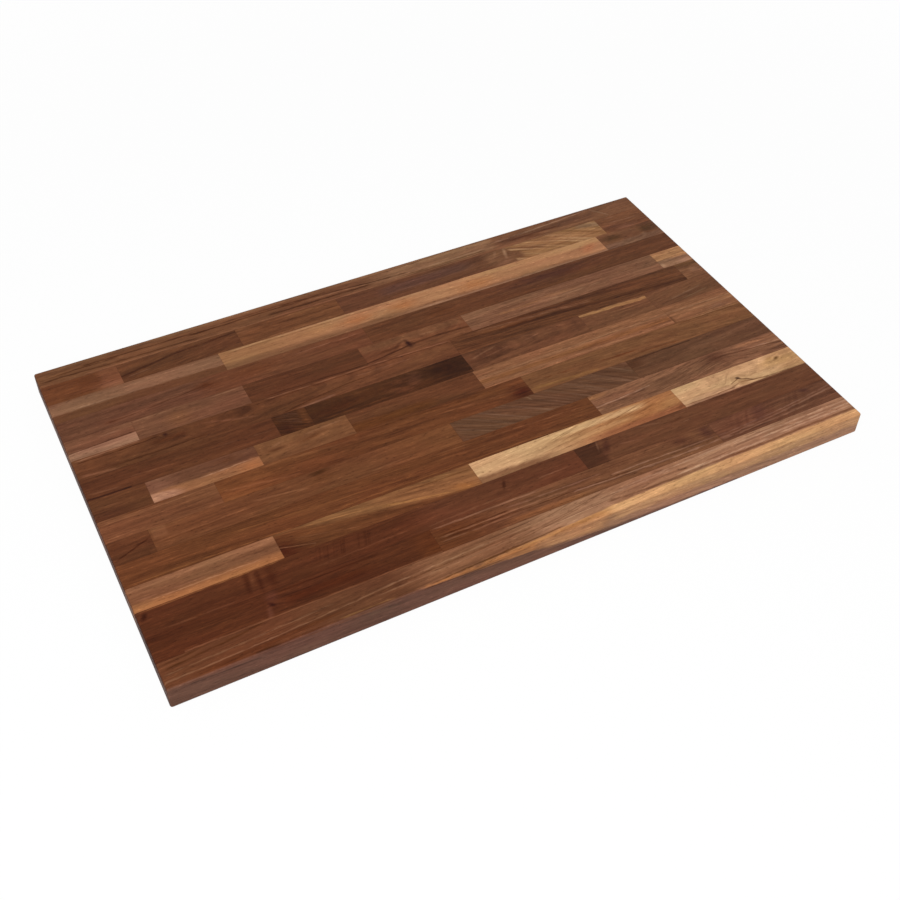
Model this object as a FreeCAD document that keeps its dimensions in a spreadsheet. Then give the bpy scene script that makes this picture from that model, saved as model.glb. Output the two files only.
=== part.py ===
import FreeCAD, Part
import Sketcher
import os

# Butcher block countertop of walnut staves, in millimetres.
#
# Fifteen rows of staves are glued edge to edge. The two outer rows are rails that run the full
# length. The rows between them are strings of shorter staves, finger-jointed end to end: the
# fingers are cut through the width of a stave and stacked through the thickness of the slab, so
# that both faces show a straight seam. The glued slab is then milled to size and its edges eased.
#
# Frame: the origin is the middle of the underside. +X runs along the staves to the right, +Y
# across the rows to the back, +Z up.

SIZES = {
    # The slab as it is milled
    "slab_length": 1066.8,
    "slab_thickness": 38.1,
    "edge_radius": 3.2,
    # Widths of the rows: the last row is ripped narrower, to bring the slab to its depth
    "stave_width": 42.6,
    "back_rail_width": 38.6,
    # Finger joint: a flat at each tip and root, and a shoulder above and below the fingers
    "finger_length": 11.0,
    "finger_pitch": 5.0,
    "finger_flat": 0.7,
    "finger_shoulder": 1.5,
}

# Lengths of the staves in each inner row, from the left end to the right. The longest stave of
# a row is cut to fill what the others leave of the slab's length, and is written as FILL.
FILL = None
INNER_ROWS = {
    2: [393.5, FILL, 218.5],
    3: [FILL, 421.5],
    4: [203.0, 295.5, FILL, 224.5],
    5: [FILL, 345.0],
    6: [58.0, FILL, 304.5, 249.5],
    7: [166.5, FILL, 411.5],
    8: [81.0, 160.0, 143.0, 211.5, FILL, 127.0],
    9: [FILL, 52.5, 261.5, 211.5, 125.0, 131.5],
    10: [FILL, 425.5, 42.5],
    11: [100.5, 171.5, 189.5, 180.5, FILL, 61.5],
    12: [489.0, FILL],
    13: [264.5, FILL, 116.5],
    14: [116.5, 190.5, 173.0, FILL, 92.5],
}
FRONT_ROW = 1
BACK_ROW = 15

# Sketch geometry: the two ends of a line, the sketch's origin and its vertical axis
START, END = 1, 2
ORIGIN = -1
VERTICAL_AXIS = -2

# Expressions that more than one piece uses
LEFT_END = "-Sizes.slab_length / 2"
RIGHT_END = "Sizes.slab_length / 2"
SLAB_DEPTH = "({} * Sizes.stave_width + Sizes.back_rail_width)".format(BACK_ROW - 1)
FINGER_ROOM = "(Sizes.slab_thickness - 2 * Sizes.finger_shoulder)"
FINGER_COUNT = "floor({} / Sizes.finger_pitch)".format(FINGER_ROOM)


def length_name(row, stave):
    """Name of the cell that holds the length of a stave."""
    return "row_{:02d}_stave_{}_length".format(row, stave)


def make_sizes(doc):
    """Put every driving size in the spreadsheet, one cell and one alias each."""
    sheet = doc.addObject("Spreadsheet::Sheet", "Sizes")
    cells = dict(SIZES)
    for row, lengths in INNER_ROWS.items():
        for stave, length in enumerate(lengths, start=1):
            if length is not FILL:
                cells[length_name(row, stave)] = length
    for line, (alias, value) in enumerate(cells.items(), start=1):
        sheet.set("A{}".format(line), alias)
        sheet.set("B{}".format(line), str(value))
        sheet.setAlias("B{}".format(line), alias)
    doc.recompute()
    return sheet


def origin_plane(body, role):
    """One of a body's own origin planes."""
    return next(feature for feature in body.Origin.OriginFeatures if feature.Role == role)


def sketch_on(body, plane, name):
    """A new sketch on one of the body's origin planes."""
    sketch = body.newObject("Sketcher::SketchObject", name)
    sketch.AttachmentSupport = [(plane, "")]
    sketch.MapMode = "FlatFace"
    return sketch


def outline(sketch, corners):
    """Draw a closed outline of straight lines and return their numbers.

    The corners are only roughly placed: the sketch's constraints then give them their real places.
    """
    lines = []
    for start, end in zip(corners, corners[1:] + corners[:1]):
        line = Part.LineSegment(FreeCAD.Vector(*start, 0), FreeCAD.Vector(*end, 0))
        lines.append(sketch.addGeometry(line, False))
    for this, following in zip(lines, lines[1:] + lines[:1]):
        sketch.addConstraint(Sketcher.Constraint("Coincident", this, END, following, START))
    return lines


def constrain(sketch, name, kind, expression, *places):
    """Add a named sketch dimension, worked out from the sizes."""
    value = float(sketch.evalExpression(expression))
    number = sketch.addConstraint(Sketcher.Constraint(kind, *places, value))
    sketch.renameConstraint(number, name)
    sketch.setExpression("Constraints." + name, expression)


def make_slab(doc):
    """The glued slab as it leaves the planer and the saw, with all its edges eased."""
    body = doc.addObject("PartDesign::Body", "MilledSlab")
    sketch = sketch_on(body, origin_plane(body, "XY_Plane"), "SlabOutline")
    front, right, back, left = outline(sketch, [(-400, -300), (400, -300), (400, 300), (-400, 300)])
    for line in (front, back):
        sketch.addConstraint(Sketcher.Constraint("Horizontal", line))
    for line in (left, right):
        sketch.addConstraint(Sketcher.Constraint("Vertical", line))
    sketch.addConstraint(Sketcher.Constraint("Symmetric", front, START, back, START, ORIGIN, START))
    constrain(sketch, "length", "DistanceX", "Sizes.slab_length", front, START, front, END)
    constrain(sketch, "depth", "DistanceY", SLAB_DEPTH, right, START, right, END)

    slab = body.newObject("PartDesign::Pad", "SlabPad")
    slab.Profile = sketch
    slab.setExpression("Length", "Sizes.slab_thickness")

    eased = body.newObject("PartDesign::Fillet", "EasedEdges")
    eased.Base = (slab, [""])
    eased.UseAllEdges = True
    eased.setExpression("Radius", "Sizes.edge_radius")
    return body


def make_finger_comb(doc):
    """The fingers on the right end of a stave, with a block behind them to carry them.

    The seam is at x = 0, the front of the stave at y = 0 and its underside at z = 0.
    """
    body = doc.addObject("PartDesign::Body", "FingerComb")
    plane = origin_plane(body, "XZ_Plane")

    sketch = sketch_on(body, plane, "BlockOutline")
    bottom, right, top, left = outline(sketch, [(-10, 0), (0, 0), (0, 30), (-10, 30)])
    for line in (bottom, top):
        sketch.addConstraint(Sketcher.Constraint("Horizontal", line))
    for line in (left, right):
        sketch.addConstraint(Sketcher.Constraint("Vertical", line))
    sketch.addConstraint(Sketcher.Constraint("Coincident", bottom, END, ORIGIN, START))
    constrain(sketch, "behind", "DistanceX", "Sizes.finger_length", bottom, START, bottom, END)
    constrain(sketch, "high", "DistanceY", "Sizes.slab_thickness", right, START, right, END)
    block = body.newObject("PartDesign::Pad", "BlockPad")
    block.Profile = sketch
    block.Reversed = True
    block.setExpression("Length", "Sizes.stave_width")

    sketch = sketch_on(body, plane, "FingerOutline")
    root, upper, tip, lower = outline(sketch, [(0, 2), (0, 6), (10, 4.5), (10, 3.5)])
    for line in (root, tip):
        sketch.addConstraint(Sketcher.Constraint("Vertical", line))
    sketch.addConstraint(Sketcher.Constraint("PointOnObject", root, START, VERTICAL_AXIS))
    sketch.addConstraint(Sketcher.Constraint("Equal", upper, lower))
    stack = "{} * Sizes.finger_pitch".format(FINGER_COUNT)
    lowest = "(Sizes.slab_thickness - {} + Sizes.finger_flat) / 2".format(stack)
    root_width = "Sizes.finger_pitch - Sizes.finger_flat"
    constrain(sketch, "root", "DistanceY", root_width, root, START, root, END)
    constrain(sketch, "tip", "DistanceY", "Sizes.finger_flat", tip, END, tip, START)
    constrain(sketch, "reach", "DistanceX", "Sizes.finger_length", root, START, lower, START)
    constrain(sketch, "height", "DistanceY", lowest, ORIGIN, START, root, START)
    finger = body.newObject("PartDesign::Pad", "FingerPad")
    finger.Profile = sketch
    finger.Reversed = True
    finger.setExpression("Length", "Sizes.stave_width")

    fingers = body.newObject("PartDesign::LinearPattern", "Fingers")
    fingers.Originals = [finger]
    fingers.Direction = (sketch, ["V_Axis"])
    fingers.Mode = "Spacing"
    fingers.setExpression("Offset", "Sizes.finger_pitch")
    fingers.setExpression("Occurrences", FINGER_COUNT)
    body.Tip = fingers
    return body


def row_front(row):
    """Where the front of a row lies."""
    return "-{} / 2 + {} * Sizes.stave_width".format(SLAB_DEPTH, row - FRONT_ROW)


def stave_ends(row, lengths):
    """Where the staves of a row begin and end: one place more than there are staves.

    Places are reckoned from the nearer end of the row, up to the stave that fills it.
    """
    fill = lengths.index(FILL)
    staves = len(lengths)
    cells = ["Sizes." + length_name(row, stave) for stave in range(1, staves + 1)]
    from_left = [" + ".join([LEFT_END] + cells[:before]) for before in range(fill + 1)]
    from_right = [" - ".join([RIGHT_END] + cells[before:]) for before in range(fill + 1, staves + 1)]
    return from_left + from_right


def make_blank(doc, name, left, right, row, width):
    """A stave sawn square, as long and as wide as its place in the slab."""
    blank = doc.addObject("Part::Box", name + "_blank")
    blank.setExpression("Length", "({}) - ({})".format(right, left))
    blank.setExpression("Width", width)
    blank.setExpression("Height", "Sizes.slab_thickness")
    blank.setExpression(".Placement.Base.x", left)
    blank.setExpression(".Placement.Base.y", row_front(row))
    return blank


def make_joint(doc, comb, name, seam, row):
    """The fingers of one joint, at its seam."""
    joint = doc.addObject("App::Link", name)
    joint.LinkedObject = comb
    joint.setExpression(".Placement.Base.x", seam)
    joint.setExpression(".Placement.Base.y", row_front(row))
    return joint


def combine(doc, kind, name, base, tool):
    """A boolean of two pieces."""
    result = doc.addObject(kind, name)
    result.Base = base
    result.Tool = tool
    return result


def make_rail(doc, slab, name, row, width):
    """An outer row: one full-length piece, with the slab's eased edges."""
    blank = make_blank(doc, name, LEFT_END, RIGHT_END, row, width)
    rail = combine(doc, "Part::Common", name + "_milled", blank, slab)
    rail.Label = name
    return rail


def make_row(doc, slab, comb, row, lengths):
    """The staves of an inner row, each with fingers at its right and sockets at its left."""
    ends = stave_ends(row, lengths)
    row_name = "row_{:02d}".format(row)
    joints = [
        make_joint(doc, comb, "{}_joint_{}".format(row_name, number), seam, row)
        for number, seam in enumerate(ends[1:-1], start=1)
    ]
    staves = []
    for index, (left, right) in enumerate(zip(ends, ends[1:])):
        name = "{}_stave_{}".format(row_name, index + 1)
        blank = make_blank(doc, name, left, right, row, "Sizes.stave_width")
        stave = combine(doc, "Part::Common", name + "_milled", blank, slab)
        if index < len(joints):
            stave = combine(doc, "Part::Fuse", name + "_fingered", stave, joints[index])
        if index > 0:
            stave = combine(doc, "Part::Cut", name + "_socketed", stave, joints[index - 1])
        stave.Label = name
        staves.append(stave)
    return staves


def check(doc, slab, staves):
    """Stop if any feature failed, or if the staves don't fill the slab exactly."""
    for feature in doc.Objects:
        if "Invalid" in feature.State or "Error" in feature.State:
            raise RuntimeError("{} could not be made: {}".format(feature.Label, feature.State))
    for stave in staves:
        if stave.Shape.isNull() or not stave.Shape.isValid() or len(stave.Shape.Solids) != 1:
            raise RuntimeError("{} is not one sound solid".format(stave.Label))
    filled = sum(stave.Shape.Volume for stave in staves)
    if abs(filled - slab.Shape.Volume) > 1e-6 * slab.Shape.Volume:
        raise RuntimeError("the staves hold {} mm3 of the slab's {}".format(filled, slab.Shape.Volume))


def main():
    doc = FreeCAD.newDocument("ButcherBlock")
    make_sizes(doc)
    slab = make_slab(doc)
    comb = make_finger_comb(doc)
    staves = [make_rail(doc, slab, "front_rail", FRONT_ROW, "Sizes.stave_width")]
    for row, lengths in INNER_ROWS.items():
        staves += make_row(doc, slab, comb, row, lengths)
    staves.append(make_rail(doc, slab, "back_rail", BACK_ROW, "Sizes.back_rail_width"))
    doc.recompute()
    check(doc, slab, staves)

    os.makedirs("parts", exist_ok=True)
    for stave in staves:
        stave.Shape.exportStep("parts/{}.step".format(stave.Label))
    print("{} staves, slab volume {:.0f} mm3".format(len(staves), slab.Shape.Volume))


main()
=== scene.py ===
import math

import bpy
from mathutils import Matrix, Vector


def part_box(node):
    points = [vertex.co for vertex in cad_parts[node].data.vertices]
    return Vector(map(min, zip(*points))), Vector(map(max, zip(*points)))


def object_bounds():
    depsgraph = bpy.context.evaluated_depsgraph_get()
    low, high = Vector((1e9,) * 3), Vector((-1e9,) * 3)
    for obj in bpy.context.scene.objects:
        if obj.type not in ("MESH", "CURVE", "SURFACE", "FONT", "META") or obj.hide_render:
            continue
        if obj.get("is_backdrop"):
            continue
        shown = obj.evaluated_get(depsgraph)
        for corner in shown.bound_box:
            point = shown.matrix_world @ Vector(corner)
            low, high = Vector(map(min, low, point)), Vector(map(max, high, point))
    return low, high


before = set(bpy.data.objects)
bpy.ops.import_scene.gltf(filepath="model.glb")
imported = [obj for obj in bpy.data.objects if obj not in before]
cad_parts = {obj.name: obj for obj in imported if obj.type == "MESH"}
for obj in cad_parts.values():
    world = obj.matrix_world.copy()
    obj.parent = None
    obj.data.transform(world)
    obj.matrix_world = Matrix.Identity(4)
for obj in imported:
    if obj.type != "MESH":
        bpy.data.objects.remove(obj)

# Butcher block countertop of walnut staves. Lengths are in metres, but in millimetres in a stave's marks,
# knots and wander and in a name that ends in _MM. A place on the slab is a pair of percentages: how far
# along the slab from its left end, and how far across the row from its front edge. Both may run past
# the wood, so that a mark is cut off by its edge.

ROWS = 15
RAILS = {1: "front_rail", ROWS: "back_rail"}

slab_low, slab_high = (Vector(corner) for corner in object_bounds())
slab_length = slab_high.x - slab_low.x
MM = 0.001


def note_size(name, corners, sizes={}):
    sizes[name] = [list(corner) for corner in corners]


note_size("cad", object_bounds())


# Where the staves lie

def row_nodes(row):
    """Names of the nodes of a row, from the left end to the right."""
    if row in RAILS:
        return [RAILS[row]]
    start = "row_{:02d}_stave_".format(row)
    return sorted(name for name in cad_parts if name.startswith(start))


class Stave:
    """Where one stave lies."""

    def __init__(self, row, number):
        names = row_nodes(row)
        self.name = names[number - 1]
        self.row = row
        self.number = number
        low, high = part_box(self.name)
        self.left = low[0]
        # The fingers reach past the seam, so a stave ends where its right neighbour begins
        self.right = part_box(names[number])[0][0] if number < len(names) else high[0]
        self.front = low[1]
        self.back = high[1]

    def along(self, percent):
        """A place along the slab, from the slab's middle."""
        return slab_low.x + percent / 100 * slab_length

    def side(self, percent):
        """A place across the stave, from the stave's middle."""
        return (percent / 100 - 0.5) * (self.back - self.front)


# Colours and node trees

# The little light that the gloss adds to every colour, taken off where a colour is written, and the least
# that is left of it
GLOSS = 0.007
DARKEST = 0.001


def linear(red, green, blue):
    """A colour as it looks on a screen, 0 to 255, as the linear one to paint, by the usual screen curve."""
    shares = (value / 255 for value in (red, green, blue))
    values = [v / 12.92 if v <= 0.04045 else ((v + 0.055) / 1.055) ** 2.4 for v in shares]
    return (*(max(value - GLOSS, DARKEST) for value in values), 1.0)


class Wire:
    """A number that flows through a node tree. Sums and products of wires make math nodes."""

    def __init__(self, tree, socket):
        self.tree = tree
        self.socket = socket

    def math(self, operation, *others):
        node = self.tree.nodes.new("ShaderNodeMath")
        node.operation = operation
        for place, value in zip(node.inputs, (self, *others)):
            plug(self.tree, value, place)
        return Wire(self.tree, node.outputs[0])

    def __add__(self, other):
        return self.math("ADD", other)

    def __sub__(self, other):
        return self.math("SUBTRACT", other)

    def __mul__(self, other):
        return self.math("MULTIPLY", other)

    def __truediv__(self, other):
        return self.math("DIVIDE", other)

    def size(self):
        return self.math("ABSOLUTE")

    def ramp(self, low, high):
        """0 where the wire is at low, 1 where it is at high, with a smooth turn at both."""
        node = self.tree.nodes.new("ShaderNodeMapRange")
        node.interpolation_type = "SMOOTHSTEP"
        for place, value in zip(node.inputs[:3], (self, low, high)):
            plug(self.tree, value, place)
        return Wire(self.tree, node.outputs[0])


def plug(tree, value, place):
    """Join a wire to a socket, or write a plain value there."""
    if isinstance(value, Wire):
        tree.links.new(value.socket, place)
    else:
        place.default_value = value


def vector(tree, x, y, z):
    node = tree.nodes.new("ShaderNodeCombineXYZ")
    for place, value in zip(node.inputs, (x, y, z)):
        plug(tree, value, place)
    return Wire(tree, node.outputs[0])


# Stretches the noise, which stays near a half, to about -1 to 1
NOISE_SPREAD = 4.0


def noise(tree, place, detail=2.0, roughness=0.5):
    """Smooth noise about 0, mostly within -1 and 1."""
    node = tree.nodes.new("ShaderNodeTexNoise")
    node.inputs["Scale"].default_value = 1.0
    node.inputs["Detail"].default_value = detail
    node.inputs["Roughness"].default_value = roughness
    plug(tree, place, node.inputs["Vector"])
    return (Wire(tree, node.outputs["Fac"]) - 0.5) * NOISE_SPREAD


# Where a mix node keeps its colours: the first, the second and the mixed one
FIRST, SECOND, MIXED = 6, 7, 2


def mix(tree, share, first, second, blend="MIX"):
    """Two colours mixed by a share."""
    node = tree.nodes.new("ShaderNodeMix")
    node.data_type = "RGBA"
    node.blend_type = blend
    plug(tree, share, node.inputs["Factor"])
    plug(tree, first, node.inputs[FIRST])
    plug(tree, second, node.inputs[SECOND])
    return Wire(tree, node.outputs[MIXED])


def group(name, inputs, outputs, build):
    """A node group: build gets its tree and its input wires, and gives its output wires.

    Inputs and outputs are their names, with spaces between them.
    """
    tree = bpy.data.node_groups.new(name, "ShaderNodeTree")
    for side, labels in (("INPUT", inputs), ("OUTPUT", outputs)):
        for label in labels.split():
            kind = "NodeSocketColor" if label == "colour" else "NodeSocketFloat"
            tree.interface.new_socket(label, in_out=side, socket_type=kind)
    start = tree.nodes.new("NodeGroupInput")
    end = tree.nodes.new("NodeGroupOutput")
    results = build(tree, *(Wire(tree, socket) for socket in start.outputs[:len(inputs.split())]))
    for place, value in zip(end.inputs, results):
        plug(tree, value, place)
    return tree


def use(tree, shared, **values):
    """A node of a shared group, with its inputs set, and its output wires by name."""
    node = tree.nodes.new("ShaderNodeGroup")
    node.node_tree = shared
    for label, value in values.items():
        plug(tree, value, node.inputs[label])
    return {socket.name: Wire(tree, socket) for socket in node.outputs}


# Walnut, as groups that every stave uses

# How often each pattern of the wood changes in a metre: along the grain, across it, and down into it
# where that differs
BENDS = 2.6, 9.0
RIPPLES = 13.0, 34.0
TREMBLES = 50.0, 75.0
HAIRS = 110.0, 460.0
CLOUDS = 13.0, 150.0
WARM_BANDS = 9.0, 34.0
SHADE_PATCHES = 4.0, 55.0, 30.0
PORE_DOTS = 110.0, 1500.0
FEATHERS = 50.0, 240.0

# How often the patterns that follow the rings change, in a metre along them and from ring to ring
BROAD_RINGS = 5.0, 0.45
FINE_RINGS = 30.0, 1.6
CLEAR_RINGS = 7.0, 0.8

# The ripples' share of how far a stave's grain wanders, and how far the trembles reach
RIPPLE_SHARE = 0.16
TREMBLE_MM = 0.4

# How far the bends reach up and down, as a share of how far they reach across
BEND_DOWN = 0.5

# Figure: what the broad and the fine rings add to it, and how far either way its tones run
BROAD_SHARE = 0.5
FINE_SHARE = 0.55
FIGURE_SPREAD = 1.05

# Late wood: how often it comes for each ring, how much the broad rings shift it, where in a ring it starts,
# where the early wood after it ends, and how much that shows
LATE_RATE = 0.83
LATE_SHIFT = 0.35
LATE_START = 0.72
EARLY_END = 0.22
EARLY_SHARE = 0.6

# How far the late wood's clear stretches run, how soon they are full, and what sets their noise apart
CLEAR_MORE = 0.35
CLEAR_FULL = 1.4
CLEAR_APART = 5.0

# How strong a fleck has to be to show as a hair, and a dot as a pore: where each starts, and where it is full
HAIR_FROM, HAIR_FULL = 0.25, 1.25
PORE_FROM, PORE_FULL = 0.75, 1.25

# Set the noise of each row, and of each stave in a row, apart from the others
ROW_STEP = 7.31
STAVE_STEP = 0.37


def build_grain(tree, along, across, up, piece, slant, wander, heart_side, heart_down, dip, ring, swell):
    """Growth rings about a heart that lies beside or under the stave, seen on every face."""
    far = piece * ROW_STEP
    slow = noise(tree, vector(tree, along * BENDS[0] + far, across * BENDS[1], up * BENDS[1] + far))
    ripples = vector(tree, along * RIPPLES[0] + far, across * RIPPLES[1] + far, up * RIPPLES[1])
    quick = noise(tree, ripples)
    trembles = vector(tree, along * TREMBLES[0] + far, across * TREMBLES[1], up * TREMBLES[1])
    jitter = noise(tree, trembles, roughness=0.6)
    bend = slow * wander + quick * wander * RIPPLE_SHARE + jitter * (TREMBLE_MM * MM)
    grain = across + bend - along * slant
    side = grain - heart_side
    down = up + heart_down + along * dip + bend * BEND_DOWN
    radius = (side * side + down * down).math("SQRT") + swell
    lines = radius / ring
    broad_rings = vector(tree, along * BROAD_RINGS[0] + far, lines * BROAD_RINGS[1], far)
    broad = noise(tree, broad_rings, detail=3.0, roughness=0.6)
    fine_rings = vector(tree, along * FINE_RINGS[0], lines * FINE_RINGS[1] + far, far)
    fine = noise(tree, fine_rings, detail=3.0, roughness=0.65)
    figure = (broad * BROAD_SHARE + fine * FINE_SHARE).ramp(-FIGURE_SPREAD, FIGURE_SPREAD)
    # Late wood darkens slowly through a ring and ends sharply, and the early wood after it is pale
    phase = (lines * LATE_RATE + broad * LATE_SHIFT).math("FRACT")
    clear = noise(tree, vector(tree, along * CLEAR_RINGS[0], lines * CLEAR_RINGS[1], far + CLEAR_APART))
    shown = (clear + CLEAR_MORE).ramp(0.0, CLEAR_FULL)
    late = (phase.ramp(LATE_START, 1.0) - phase.ramp(EARLY_END, 0.0) * EARLY_SHARE) * shown
    # Only the lightest and the darkest flecks show as hairs
    hairs = vector(tree, along * HAIRS[0] + far, grain * HAIRS[1], up * HAIRS[1])
    flecks = noise(tree, hairs, roughness=0.6)
    hair = flecks.ramp(HAIR_FROM, HAIR_FULL) - flecks.ramp(-HAIR_FROM, -HAIR_FULL)
    clouds = vector(tree, along * CLOUDS[0] + far, grain * CLOUDS[1], up * CLOUDS[1] + far)
    cloud = noise(tree, clouds, detail=3.0, roughness=0.6)
    warm = noise(tree, vector(tree, along * WARM_BANDS[0], grain * WARM_BANDS[1] + far, up * WARM_BANDS[1]))
    long, wide, high = SHADE_PATCHES
    shades = noise(tree, vector(tree, along * long + far, grain * wide, up * high + far))
    patch = shades.ramp(-1.0, 1.0)
    dots = vector(tree, along * PORE_DOTS[0], grain * PORE_DOTS[1], up * PORE_DOTS[1])
    pores = noise(tree, dots, detail=1.0).ramp(PORE_FROM, PORE_FULL)
    fringe = vector(tree, along * FEATHERS[0] + far, grain * FEATHERS[1], up * FEATHERS[1])
    feather = noise(tree, fringe, roughness=0.6)
    return figure, late, hair, patch, pores, across + bend, feather, cloud, warm


grain_group = group(
    "walnut grain",
    "along across up piece slant wander heart_side heart_down dip ring swell",
    "figure late hair patch pores grain feather cloud warm",
    build_grain,
)


def build_streak(tree, along, across, depth, feather, start, start_side, end, end_side, bow, wide, end_wide,
                 soft, ragged, lean, fade_in, fade_out):
    """A band or streak along a line, bowed as a parabola, that leans as it goes down into the wood."""
    part = (along - start) / (end - start)
    middle = start_side + (end_side - start_side) * part + bow * 4.0 * part * (part * -1.0 + 1.0)
    half = wide + (end_wide - wide) * part
    away = (across + depth * lean - middle).size() + feather * ragged - half
    body = away.ramp(soft * 0.5, soft * -0.5)
    ends = (along - start).ramp(0.0, fade_in) * (end - along).ramp(0.0, fade_out)
    return (body * ends,)


streak_group = group(
    "streak",
    "along across depth feather start start_side end end_side bow wide end_wide soft ragged lean "
    "fade_in fade_out",
    "share",
    build_streak,
)


def build_blotch(tree, along, across, depth, feather, centre, side, half_long, half_wide, turn, soft, ragged,
                 lean):
    """An oval patch, turned on the face."""
    ahead = along - centre
    beside = across + depth * lean - side
    cosine = turn.math("COSINE")
    sine = turn.math("SINE")
    long = (ahead * cosine + beside * sine) / half_long
    wide = (beside * cosine - ahead * sine) / half_wide
    away = (long * long + wide * wide).math("SQRT") + feather * ragged
    return (away.ramp(soft + 1.0, soft * -1.0 + 1.0),)


blotch_group = group(
    "blotch",
    "along across depth feather centre side half_long half_wide turn soft ragged lean",
    "share",
    build_blotch,
)


# How the lines between stripes drift, how ragged they are, and how soft the patch of stripes is at its sides
STRIPE_DRIFT = 6.0, 9.0
STRIPE_RAGGED = 0.12
STRIPE_SIDES_MM = 2


def build_stripes(tree, along, across, depth, feather, start, end, side, half_wide, turn, curve, step, thin,
                  soft, fade, lean):
    """Uneven stripes across a stretch of the stave, such as slanting rings or curly figure."""
    ahead = along - start
    beside = across + depth * lean - side
    lines = (beside * turn.math("COSINE") - ahead * turn.math("SINE") + ahead * ahead * curve) / step
    stretch = vector(tree, lines, along * STRIPE_DRIFT[0], depth * STRIPE_DRIFT[1])
    drift = noise(tree, stretch, roughness=0.55)
    body = (drift + feather * STRIPE_RAGGED).ramp(thin - soft, thin + soft)
    room = beside.size().ramp(half_wide + STRIPE_SIDES_MM * MM, half_wide - STRIPE_SIDES_MM * MM)
    ends = ahead.ramp(0.0, fade) * (end - along).ramp(0.0, fade)
    return (body * room * ends,)


stripes_group = group(
    "stripes",
    "along across depth feather start end side half_wide turn curve step thin soft fade lean",
    "share",
    build_stripes,
)


def build_swell(tree, along, across, centre, side, half_long, half_wide, rise):
    """How far a knot pushes the growth rings out of their way."""
    long = (along - centre) / half_long
    wide = (across - side) / half_wide
    fall = ((long * long + wide * wide) * -1.0).math("EXPONENT")
    return (fall * rise,)


swell_group = group(
    "knot swell",
    "along across centre side half_long half_wide rise",
    "rise",
    build_swell,
)


# What the figure, the hairs, the pores and the glue multiply the colour of the wood by, and how far either
# way its warm bands and how strongly its pores and glue lines show
DARK_GROWTH = (0.34, 0.27, 0.25, 1.0)
LIGHT_GROWTH = (1.75, 1.82, 1.85, 1.0)
LATE_WOOD = (0.40, 0.32, 0.30, 1.0)
EARLY_WOOD = (1.55, 1.65, 1.75, 1.0)
DARK_HAIR = (0.50, 0.46, 0.44, 1.0)
LIGHT_HAIR = (1.54, 1.61, 1.64, 1.0)
DARK_CLOUD = (0.86, 0.84, 0.83, 1.0)
LIGHT_CLOUD = (1.14, 1.17, 1.18, 1.0)
OLIVE = (0.96, 1.01, 0.98, 1.0)
RUSSET = (1.03, 0.99, 0.99, 1.0)
PORE = (0.45, 0.40, 0.38, 1.0)
GLUE = (0.42, 0.34, 0.30, 1.0)
END_GRAIN = (0.56, 0.52, 0.50, 1.0)
WARM_SPREAD = 0.8
PORES_SHOWN = 0.55
GLUE_SHOWN = 0.3

# Roughness of the oiled face, and what hairs, pores and end grain add to it
ROUGHNESS = 0.44
HAIR_ROUGHNESS = -0.02
PORE_ROUGHNESS = 0.12
END_ROUGHNESS = 0.12

# How high hairs stand and how deep glue lies, against a pore of depth 1, and how the relief shows
HAIR_RELIEF = 0.15
GLUE_RELIEF = 0.6
RELIEF_STRENGTH = 0.35
RELIEF_MM = 0.2
SPECULAR = 0.06


def build_finish(tree, colour, figure, contrast, late, late_share, hair, cloud, warm, pores, glue, end):
    """Colour, roughness and relief of the sanded and oiled wood."""
    shade = mix(tree, figure, DARK_GROWTH, LIGHT_GROWTH)
    colour = mix(tree, contrast, colour, shade, "MULTIPLY")
    colour = mix(tree, (late * late_share).math("MAXIMUM", 0.0), colour, LATE_WOOD, "MULTIPLY")
    colour = mix(tree, (late * late_share * -1.0).math("MAXIMUM", 0.0), colour, EARLY_WOOD, "MULTIPLY")
    colour = mix(tree, 1.0, colour, mix(tree, hair * 0.5 + 0.5, DARK_HAIR, LIGHT_HAIR), "MULTIPLY")
    colour = mix(tree, 1.0, colour, mix(tree, cloud.ramp(-1.0, 1.0), DARK_CLOUD, LIGHT_CLOUD), "MULTIPLY")
    warmth = mix(tree, warm.ramp(-WARM_SPREAD, WARM_SPREAD), OLIVE, RUSSET)
    colour = mix(tree, 1.0, colour, warmth, "MULTIPLY")
    colour = mix(tree, pores * PORES_SHOWN, colour, PORE, "MULTIPLY")
    colour = mix(tree, end, colour, END_GRAIN, "MULTIPLY")
    colour = mix(tree, glue, colour, GLUE, "MULTIPLY")
    rough = hair * HAIR_ROUGHNESS + pores * PORE_ROUGHNESS + end * END_ROUGHNESS + ROUGHNESS
    relief = hair * HAIR_RELIEF - pores - glue * GLUE_RELIEF
    return colour, rough, relief


finish_group = group(
    "oiled wood",
    "colour figure contrast late late_share hair cloud warm pores glue end",
    "colour rough relief",
    build_finish,
)


class Mark:
    """One feature of a stave: where it shows, as a shared group and its settings, and its colour."""

    def __init__(self, shared, colour, strength, settings):
        self.shared = shared
        self.colour = linear(*colour)
        self.strength = strength
        self.settings = settings


# How far a mark leans to the front for each bit that it goes down into the wood
LEAN = 0.3
STRIPES_LEAN = 0.2
# A mark of the front face starts before the slab and leans back, so that it shows there and hardly on
# the top: a place of -134 across is half way down the face, and one of -268 is its lower edge
FRONT_LEAN = -3.0


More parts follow.
